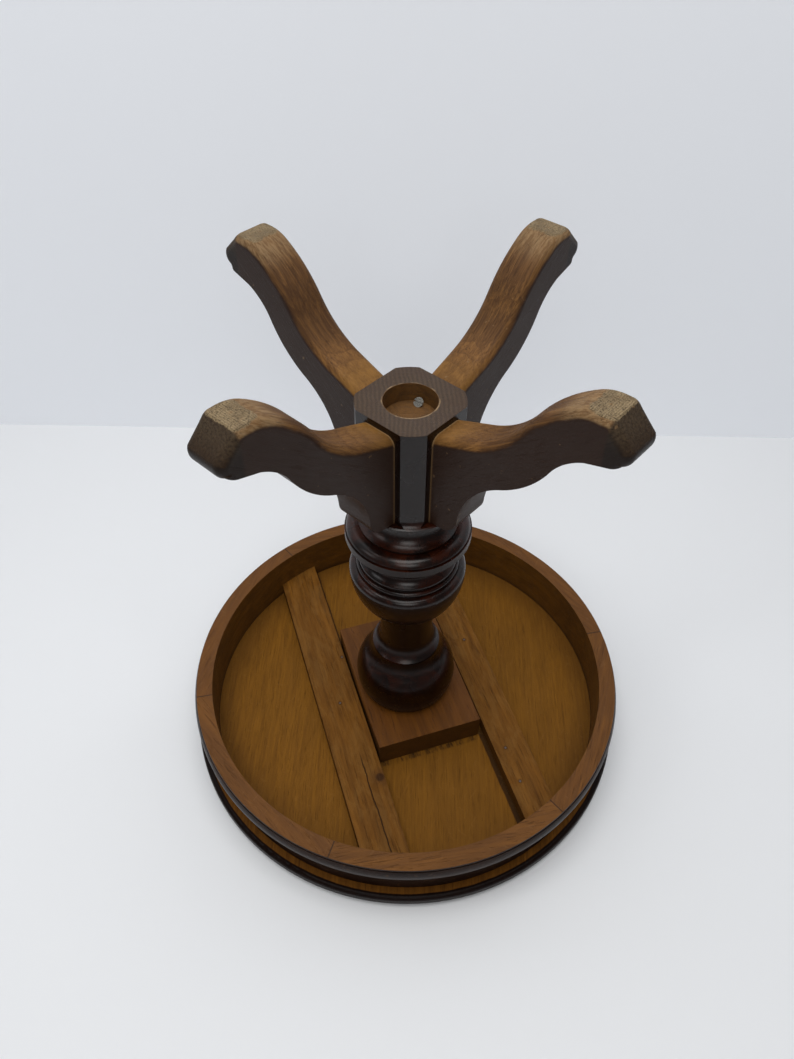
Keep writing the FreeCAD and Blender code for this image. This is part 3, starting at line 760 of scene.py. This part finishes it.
# ---------------------------------------------------------------- ring of apron segments
@dataclass
class ApronRing:
    """The moulded ring: sawn inside, sanded face, polished mouldings outside."""

    nodes: dict[int, bpy.types.Object]
    inner: float = 0.211
    face: float = 0.073
    floor: float = 0.018
    outer: float = 0.230
    tones: tuple[float, ...] = (0.50, 0.30, 0.62, 0.42, 0.22, 0.35)

    def dress(self) -> None:
        """Dresses each segment with its own cut of wood."""
        for number, node in self.nodes.items():
            self.dress_segment(number, node)
        LOG.info("%d apron segments dressed", len(self.nodes))

    def dress_segment(self, number: int, node: bpy.types.Object) -> None:
        """Puts inside, face and mouldings on one segment.

        Args:
            number: the segment's number, from 1.
            node: its CAD node.
        """
        finish = Finish(f"apron_wood_{number}")
        graph = finish.graph
        place = graph.place()
        heading = APRON_TURN + (number - 0.5) * math.tau / SEGMENTS
        radius = graph.radius(place)
        level = graph.part(place, Axis.Z)
        chord = graph.spun(place, -heading - QUARTER)
        grain = GRAIN.use(graph, chord, Width=0.0028, Wander=0.016, Seed=number * 2.7)
        spots = BLOTCH.use(graph, place, Size=0.05, Seed=number * 1.3)
        scuffs = SCUFFS.use(graph, place, Seed=number * 0.9)
        tone = self.tones[number - 1]
        face = finish.wood(FACE_STAIN, grain, 0.55)
        face = graph.mix(tone * SEGMENT_TONE.share, face, SEGMENT_TONE.colour)
        face = finish.tint(face, spots["Soft"], FACE_SHADE)
        face = finish.tint(face, self.joint_line(graph, place, heading), JOINT_GLUE)
        # Painted highlight: a pale broken line on the bead at the face's outer edge.
        brink = graph.band(radius, self.outer - 0.0022, self.outer - 0.0004, 0.0005)
        face = finish.tint(face, graph.both(brink, spots["Patchy"]), BEAD_HIGHLIGHT)
        wall = finish.wood(INNER_STAIN, grain, 0.5)
        wall = finish.tint(wall, spots["Patchy"], WALL_SHADE)
        # Painted shade: the inner wall darkens towards its foot.
        foot = graph.ramp(level, self.floor + 0.008, self.floor, 0.0, WALL_FOOT_SHADE.share)
        wall = graph.mix(foot, wall, WALL_FOOT_SHADE.colour)
        outside = finish.wood(ESPRESSO, grain, 0.5)
        outside = finish.tint(outside, spots["Soft"], MOULDING_SHADE)
        on_wall = graph.ramp(radius, self.inner + 0.0004, self.inner + 0.0001)
        on_face = graph.ramp(level, self.face - 0.0006, self.face - 0.0001)
        colour = graph.mix(on_wall, graph.mix(on_face, outside, face), wall)
        colour = finish.tint(colour, scuffs["Scratches"], RING_SCRATCH)
        inside = graph.either(on_wall, on_face)
        rough = graph.between(inside, SATIN_ROUGH, 0.56)
        rough = graph.math("ADD", rough, graph.both(spots["Soft"], 0.08))
        height = graph.both(finish.relief(grain, 0.4, 0.5), graph.between(inside, 0.25, 1.0))
        finish.shade(colour, rough, height, RING_SHEEN)
        finish.put_on(node)

    def joint_line(self, graph: Graph, place: Socket, heading: float) -> Socket:
        """Returns a mask of the thin dark glue lines at both ends of a segment."""
        local = graph.spun(place, -heading)
        half = math.pi / SEGMENTS
        lines = []
        for sign in (1.0, -1.0):
            off = graph.part(graph.spun(local, -sign * half), Axis.Y)
            lines.append(graph.ramp(graph.math("ABSOLUTE", off), 0.0009, 0.0003))
        return graph.either(*lines)


# ---------------------------------------------------------------- battens, block and nails
@dataclass
class BattenFrame:
    """Battens, the block between them and their nails."""

    battens: dict[str, bpy.types.Object]
    block: bpy.types.Object
    nails: bpy.types.Object
    knot: tuple[float, float] = (-0.061, -0.1017)
    knot_eye: tuple[float, float] = (0.0045, 0.0015)
    knot_ring: tuple[float, float] = (0.0095, 0.004)
    rust_halo: tuple[float, float] = (0.0022, 0.0016)
    crack_line: float = -0.074
    block_round: float = 0.0008
    nail_places: tuple[tuple[float, float], ...] = (
        (-0.0593, 0.0561), (-0.0775, -0.003), (0.0858, 0.0363), (0.0768, -0.1102), (0.0764, -0.1502),
    )

    def dress(self) -> None:
        """Dresses the battens, the block and the nails."""
        for side, node in self.battens.items():
            self.dress_batten(side, node)
        self.dress_block()
        soften(self.block, self.block_round)
        self.dress_nails()
        LOG.info("batten frame dressed")

    def spot(self, graph: Graph, local: Socket, centre: Sequence[float],
             size: float, soft: float) -> Socket:
        """Returns a round mask about a point of the batten frame."""
        moved = graph.moved(local, (-centre[0], -centre[1], 0.0))
        return graph.ramp(graph.radius(moved), size + soft, size - soft)

    def sides(self, graph: Graph) -> Socket:
        """Returns a mask of the faces that don't look up, where shade is painted."""
        return graph.ramp(graph.facing(Axis.Z), 0.6, 0.3)

    def dress_batten(self, side: str, node: bpy.types.Object) -> None:
        """Puts sawn wood with rust round the nails on a batten, and a knot and a crack on the left one.

        Args:
            side: the batten's side, left or right.
            node: its CAD node.
        """
        finish = Finish(f"batten_wood_{side}")
        graph = finish.graph
        local = graph.spun(graph.place(), -FRAME_TURN)
        seed = 5.3 if side == "left" else 9.1
        grain = GRAIN.use(graph, graph.spun(local, -QUARTER), Width=0.0030, Wander=0.012, Seed=seed)
        spots = BLOTCH.use(graph, graph.scaled(local, (1, 0.4, 1)), Size=0.035, Seed=seed)
        colour = finish.wood(BARE_BATTEN, grain, 0.55)
        colour = finish.tint(colour, spots["Soft"], BATTEN_SHADE)
        colour = finish.tint(colour, spots["Patchy"], BATTEN_PALE)
        # Painted shade on the batten's sides.
        colour = finish.tint(colour, self.sides(graph), BATTEN_SIDE_SHADE)
        for centre in self.nail_places:
            colour = finish.tint(colour, self.spot(graph, local, centre, *self.rust_halo), RUST_HALO)
        height = finish.relief(grain, 0.4, 0.5)
        if side == "left":
            eye = self.spot(graph, local, self.knot, *self.knot_eye)
            ring = self.spot(graph, local, self.knot, *self.knot_ring)
            colour = finish.tint(colour, ring, KNOT_RING)
            colour = finish.tint(colour, eye, KNOT_EYE)
            cracks = self.crack(graph, local)
            colour = finish.tint(colour, cracks, DRY_CRACK)
            height = graph.math("SUBTRACT", height, cracks)
        rough = graph.math("ADD", graph.both(spots["Soft"], 0.1), 0.5)
        finish.shade(colour, rough, height, BATTEN_SHEEN)
        finish.put_on(node)
        LOG.info("batten_%s dressed", side)

    def crack(self, graph: Graph, local: Socket) -> Socket:
        """Returns a mask of the long drying crack in the left batten."""
        sway = graph.waver(local, 14.0, 0.009, 4.0, 0.6)
        across = graph.math("ADD", graph.part(local, Axis.X), sway)
        off = graph.math("ADD", across, -self.crack_line)
        thin = graph.ramp(graph.math("ABSOLUTE", off), 0.0009, 0.0003)
        return graph.both(thin, graph.ramp(graph.part(local, Axis.Y), -0.060, -0.085))

    def dress_block(self) -> None:
        """Puts stained wood on the block, with painted shade on its sides."""
        finish = Finish("block_wood")
        graph = finish.graph
        local = graph.spun(graph.place(), -FRAME_TURN)
        grain = GRAIN.use(graph, graph.spun(local, -QUARTER), Width=0.0036, Wander=0.03, Seed=12.4)
        spots = BLOTCH.use(graph, local, Size=0.04, Seed=4.4)
        colour = finish.wood(BLOCK_STAIN, grain, 0.6)
        colour = finish.tint(colour, spots["Soft"], BLOCK_SHADE)
        # Painted shade on the block's sides.
        colour = finish.tint(colour, self.sides(graph), BLOCK_SIDE_SHADE)
        rough = graph.math("ADD", graph.both(spots["Soft"], 0.12), 0.40)
        finish.shade(colour, rough, finish.relief(grain, 0.35, 0.4), BLOCK_SHEEN)
        finish.put_on(self.block)

    def dress_nails(self) -> None:
        """Puts dull dark steel with rust on the nails."""
        finish = Finish("nail_steel")
        graph = finish.graph
        rust = graph.ramp(graph.noise(graph.place(), 1500.0, 4.0, 0.6), 0.45, 0.6)
        colour = graph.mix(rust, NAIL_STEEL, NAIL_RUST)
        finish.shade(colour, graph.between(rust, 0.45, 0.8), rust, NAIL_SHEEN)
        finish.put_on(self.nails)


# ---------------------------------------------------------------- column
@dataclass
class TurnedColumn:
    """The polished column and its hub, cut at the end and bored."""

    node: bpy.types.Object
    hub_end: float = 0.4336
    bore: float = 0.0224
    bore_floor: float = 0.41

    def dress(self) -> None:
        """Puts dark polish on the turning, end grain on the hub and bare wood in the bore."""
        finish = Finish("column_wood")
        graph = finish.graph
        place = graph.place()
        level = graph.part(place, Axis.Z)
        radius = graph.radius(place)
        upright = graph.turned(place, (0, QUARTER, 0))
        grain = GRAIN.use(graph, upright, Width=0.0040, Wander=0.015, Seed=6.6)
        spots = BLOTCH.use(graph, place, Size=0.05, Seed=7.7)
        scuffs = SCUFFS.use(graph, place, Seed=5.0)
        colour = finish.wood(ESPRESSO, grain, 0.6)
        # Painted light: a red sheen in patches on the faces that look up.
        upward = graph.ramp(graph.facing(Axis.Z), 0.1, 0.9)
        colour = finish.tint(colour, graph.both(upward, spots["Patchy"]), RED_TOP_LIGHT)
        colour = finish.tint(colour, scuffs["Scratches"], COLUMN_SCRATCH)
        end = CUT_END.use(graph, graph.moved(place, (0.018, 0.03, 0.0)), Ring=0.0034, Seed=0.4)
        cut = finish.cut_end(HUB_END, end, 0.28, 0.5)
        cut = finish.tint(cut, spots["Patchy"], HUB_DIRT)
        on_end = graph.ramp(level, self.hub_end - 0.0006, self.hub_end - 0.0001)
        rim = graph.both(graph.band(radius, self.bore, self.bore + 0.0012, 0.0006), spots["Patchy"])
        cut = finish.tint(cut, rim, BORE_RIM)
        within = graph.ramp(radius, self.bore + 0.0005, self.bore)
        in_bore = graph.both(within, graph.ramp(level, self.bore_floor, self.bore_floor + 0.004))
        tool = {"Vector": place, "Scale": 220.0, "Distortion": 1.5, "Detail": 2.0}
        marks = graph.add("TexWave", tool, wave_type="RINGS", rings_direction="Z").outputs[1]
        bare = graph.mix(graph.both(marks, 0.5), BORE_STAIN.light, BORE_STAIN.dark)
        dirt = graph.either(end["Specks"], spots["Patchy"])
        bare = graph.mix(graph.both(dirt, 0.45), bare, BORE_STAIN.pore)
        colour = graph.mix(graph.both(on_end, graph.rest(in_bore)), colour, cut)
        colour = graph.mix(in_bore, colour, bare)
        raw = graph.either(on_end, in_bore)
        rough = graph.math("ADD", graph.between(raw, 0.23, 0.60), graph.both(spots["Soft"], 0.08))
        height = graph.both(raw, graph.math("ADD", end["Specks"], end["Saw"]))
        height = graph.math("ADD", graph.both(height, 0.5), graph.both(grain["Fibre"], 0.03))
        finish.shade(colour, rough, height, COLUMN_SHEEN)
        finish.put_on(self.node)
        LOG.info("column dressed")


# ---------------------------------------------------------------- legs
@dataclass
class ScrollLegs:
    """Four legs: dark polished sides, worn undersides, bare pads."""

    nodes: dict[int, bpy.types.Object]
    pad: float = 0.5169
    toe: float = 0.1755
    spigot: float = 0.0388
    slope: float = math.radians(42.0)
    dark_middle: tuple[float, float] = (0.090, 0.135)
    hub_glow: tuple[float, float] = (0.075, 0.045)
    bald_level: tuple[float, float] = (0.493, 0.511)
    bald_reach: tuple[float, float] = (0.125, 0.15)

    def dress(self) -> None:
        """Dresses each leg along its own heading."""
        for number, node in self.nodes.items():
            self.dress_leg(number, node)
        LOG.info("%d legs dressed", len(self.nodes))

    def dress_leg(self, number: int, node: bpy.types.Object) -> None:
        """Puts sides, underside, toe and pad on one leg.

        Args:
            number: the leg's number, from 1.
            node: its CAD node.
        """
        finish = Finish(f"leg_wood_{number}")
        graph = finish.graph
        heading = HUB_TURN + (number - 1) * math.tau / LEGS
        local = graph.spun(graph.place(), -heading)
        reach = graph.part(local, Axis.X)
        level = graph.part(local, Axis.Z)
        up = graph.facing(Axis.Z)
        grain = GRAIN.use(graph, graph.turned(local, (0, self.slope, 0)), Width=0.0018, Wander=0.012,
                          Ring=0.0042, Pith=0.03 + number * 0.012, Seed=number * 3.3)
        spots = BLOTCH.use(graph, local, Size=0.045, Seed=number * 2.1)
        scuffs = SCUFFS.use(graph, local, Seed=number * 1.9)
        sides = graph.mix(SIDE_HAZE.share, finish.wood(ESPRESSO, grain, 0.5), SIDE_HAZE.colour)
        ragged = graph.math("ADD", up, graph.waver(local, 70.0, 0.35, 4.0, 0.6))
        under = graph.ramp(ragged, 0.12, 0.42)
        worn = self.underside(finish, grain, spots, reach, level)
        colour = graph.mix(under, sides, worn)
        toe = graph.ramp(reach, self.toe - 0.0005, self.toe + 0.0025)
        colour = graph.mix(graph.both(toe, 0.9), colour, self.toe_front(finish, grain, level))
        colour = finish.tint(colour, scuffs["Knocks"], KNOCK)
        raw_end = graph.both(graph.ramp(reach, self.spigot + 0.0017, self.spigot), graph.ramp(up, -0.2, 0.2))
        colour = finish.tint(colour, raw_end, SPIGOT_END)
        pad, bare, pits = self.bare_pad(finish, local, level, number)
        colour = graph.mix(pad, colour, bare)
        bared = graph.either(under, pad)
        rough = graph.math("ADD", graph.between(bared, 0.36, 0.56), graph.both(spots["Soft"], 0.06))
        height = graph.both(finish.relief(grain, 0.35, 0.4), graph.between(bared, 0.25, 1.0))
        height = graph.math("SUBTRACT", height, graph.both(pad, pits))
        finish.shade(colour, rough, height, LEG_SHEEN)
        finish.put_on(node)

    def underside(self, finish: Finish, grain: Any, spots: Any, reach: Socket, level: Socket) -> Socket:
        """Colours the worn underside, which looks up while the table stands on its top.

        Args:
            finish: the leg's finish.
            grain: its long_grain outputs.
            spots: its blotch outputs.
            reach: distance from the column's axis.
            level: height above the floor.

        Returns:
            The colour, darker in the middle and bald near the pad.
        """
        graph = finish.graph
        worn = finish.wood(UNDER_STAIN, grain, 0.3, 0.45)
        worn = finish.tint(worn, spots["Soft"], UNDER_SHADE)
        middle = graph.band(reach, *self.dark_middle, 0.018)
        worn = graph.mix(graph.both(middle, graph.between(grain["Fibre"], 0.6, 0.2)), worn, UNDER_DARK)
        shifting = graph.ramp(spots["Soft"], 0.2, 0.8, 1.0, 0.4)
        worn = finish.tint(worn, graph.both(graph.ramp(reach, *self.hub_glow), shifting), HUB_GLOW)
        bald = graph.both(graph.ramp(level, *self.bald_level), graph.ramp(reach, *self.bald_reach))
        streaks = graph.ramp(grain["Fibre"], 0.2, 0.8, 0.25, 0.75)
        return graph.mix(graph.both(bald, streaks), worn, BALD_WOOD)

    def toe_front(self, finish: Finish, grain: Any, level: Socket) -> Socket:
        """Returns the colour of the blunt front of the toe, with pale scratches near the pad."""
        graph = finish.graph
        front = finish.wood(ESPRESSO, grain, 0.4)
        front = graph.mix(TOE_HAZE.share, front, TOE_HAZE.colour)
        near_pad = graph.ramp(level, self.pad - 0.022, self.pad - 0.004)
        return finish.tint(front, graph.both(near_pad, grain["Fibre"]), TOE_HATCH)

    def bare_pad(self, finish: Finish, local: Socket, level: Socket,
                 number: int) -> tuple[Socket, Socket, Socket]:
        """Draws the bare end grain of a foot pad.

        Args:
            finish: the leg's finish.
            local: coordinates along the leg.
            level: height above the floor.
            number: the leg's number, from 1.

        Returns:
            The mask of the pad, with ragged edges, then its colour and its pits.
        """
        graph = finish.graph
        end = CUT_END.use(graph, graph.moved(local, (-0.10, 0.02, 0.0)), Ring=0.0016, Seed=number * 0.7)
        colour = finish.cut_end(RAW_WOOD, end, 0.35, 0.7)
        dirt = graph.ramp(graph.noise(local, 110.0, 5.0, 0.65), 0.42, 0.62)
        colour = finish.tint(colour, dirt, PAD_DIRT)
        ragged = graph.math("ADD", level, graph.waver(local, 200.0, 0.0036, 5.0, 0.7))
        mask = graph.ramp(ragged, self.pad - 0.0011, self.pad - 0.0003)
        pits = graph.math("ADD", end["Specks"], graph.both(end["Saw"], 0.5))
        return mask, colour, pits


# ---------------------------------------------------------------- steel and dowels
@dataclass
class Fastenings:
    """The slotted screw in the bore and the dowels."""

    screw: bpy.types.Object
    dowels: bpy.types.Object

    def dress(self) -> None:
        """Puts bright steel on the screw and raw wood on the dowels."""
        steel = Finish("screw_steel")
        graph = steel.graph
        brushed = graph.turned(graph.place(), (0.4, 0.2, 0.3), (0.15, 1, 1))
        marks = graph.noise(brushed, 2500.0, 3.0, 0.6)
        colour = graph.mix(marks, SCREW_DULL, SCREW_BRIGHT)
        steel.shade(colour, graph.ramp(marks, 0.3, 0.7, 0.25, 0.4), marks, SCREW_SHEEN)
        shader = next(node for node in graph.tree.nodes if node.type == "BSDF_PRINCIPLED")
        shader.inputs["Metallic"].default_value = 1.0
        steel.put_on(self.screw)
        raw = Finish("dowel_wood")
        grain = GRAIN.use(raw.graph, raw.graph.place(), Width=0.0015, Wander=0.004, Seed=1.0)
        raw.shade(raw.wood(RAW_WOOD, grain, 0.4), MATT_ROUGH, grain["Fibre"], DOWEL_SHEEN)
        raw.put_on(self.dowels)
        LOG.info("fastenings dressed")


def main() -> None:
    """Loads the frame, dresses every piece and sets the stage."""
    logging.basicConfig(level=logging.INFO, format="%(name)s: %(message)s")
    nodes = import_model()["nodes"]
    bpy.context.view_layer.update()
    RoundTop(nodes["top_board"]).dress()
    ApronRing({number: nodes[f"apron_segment_{number}"] for number in range(1, SEGMENTS + 1)}).dress()
    battens = {side: nodes[f"batten_{side}"] for side in ("left", "right")}
    BattenFrame(battens, nodes["mounting_block"], nodes["batten_nails"]).dress()
    TurnedColumn(nodes["column"]).dress()
    ScrollLegs({number: nodes[f"leg_{number}"] for number in range(1, LEGS + 1)}).dress()
    Fastenings(nodes["bore_screw"], nodes["leg_dowels"]).dress()
    StudioStage().build()


if __name__ == "__main__":
    main()
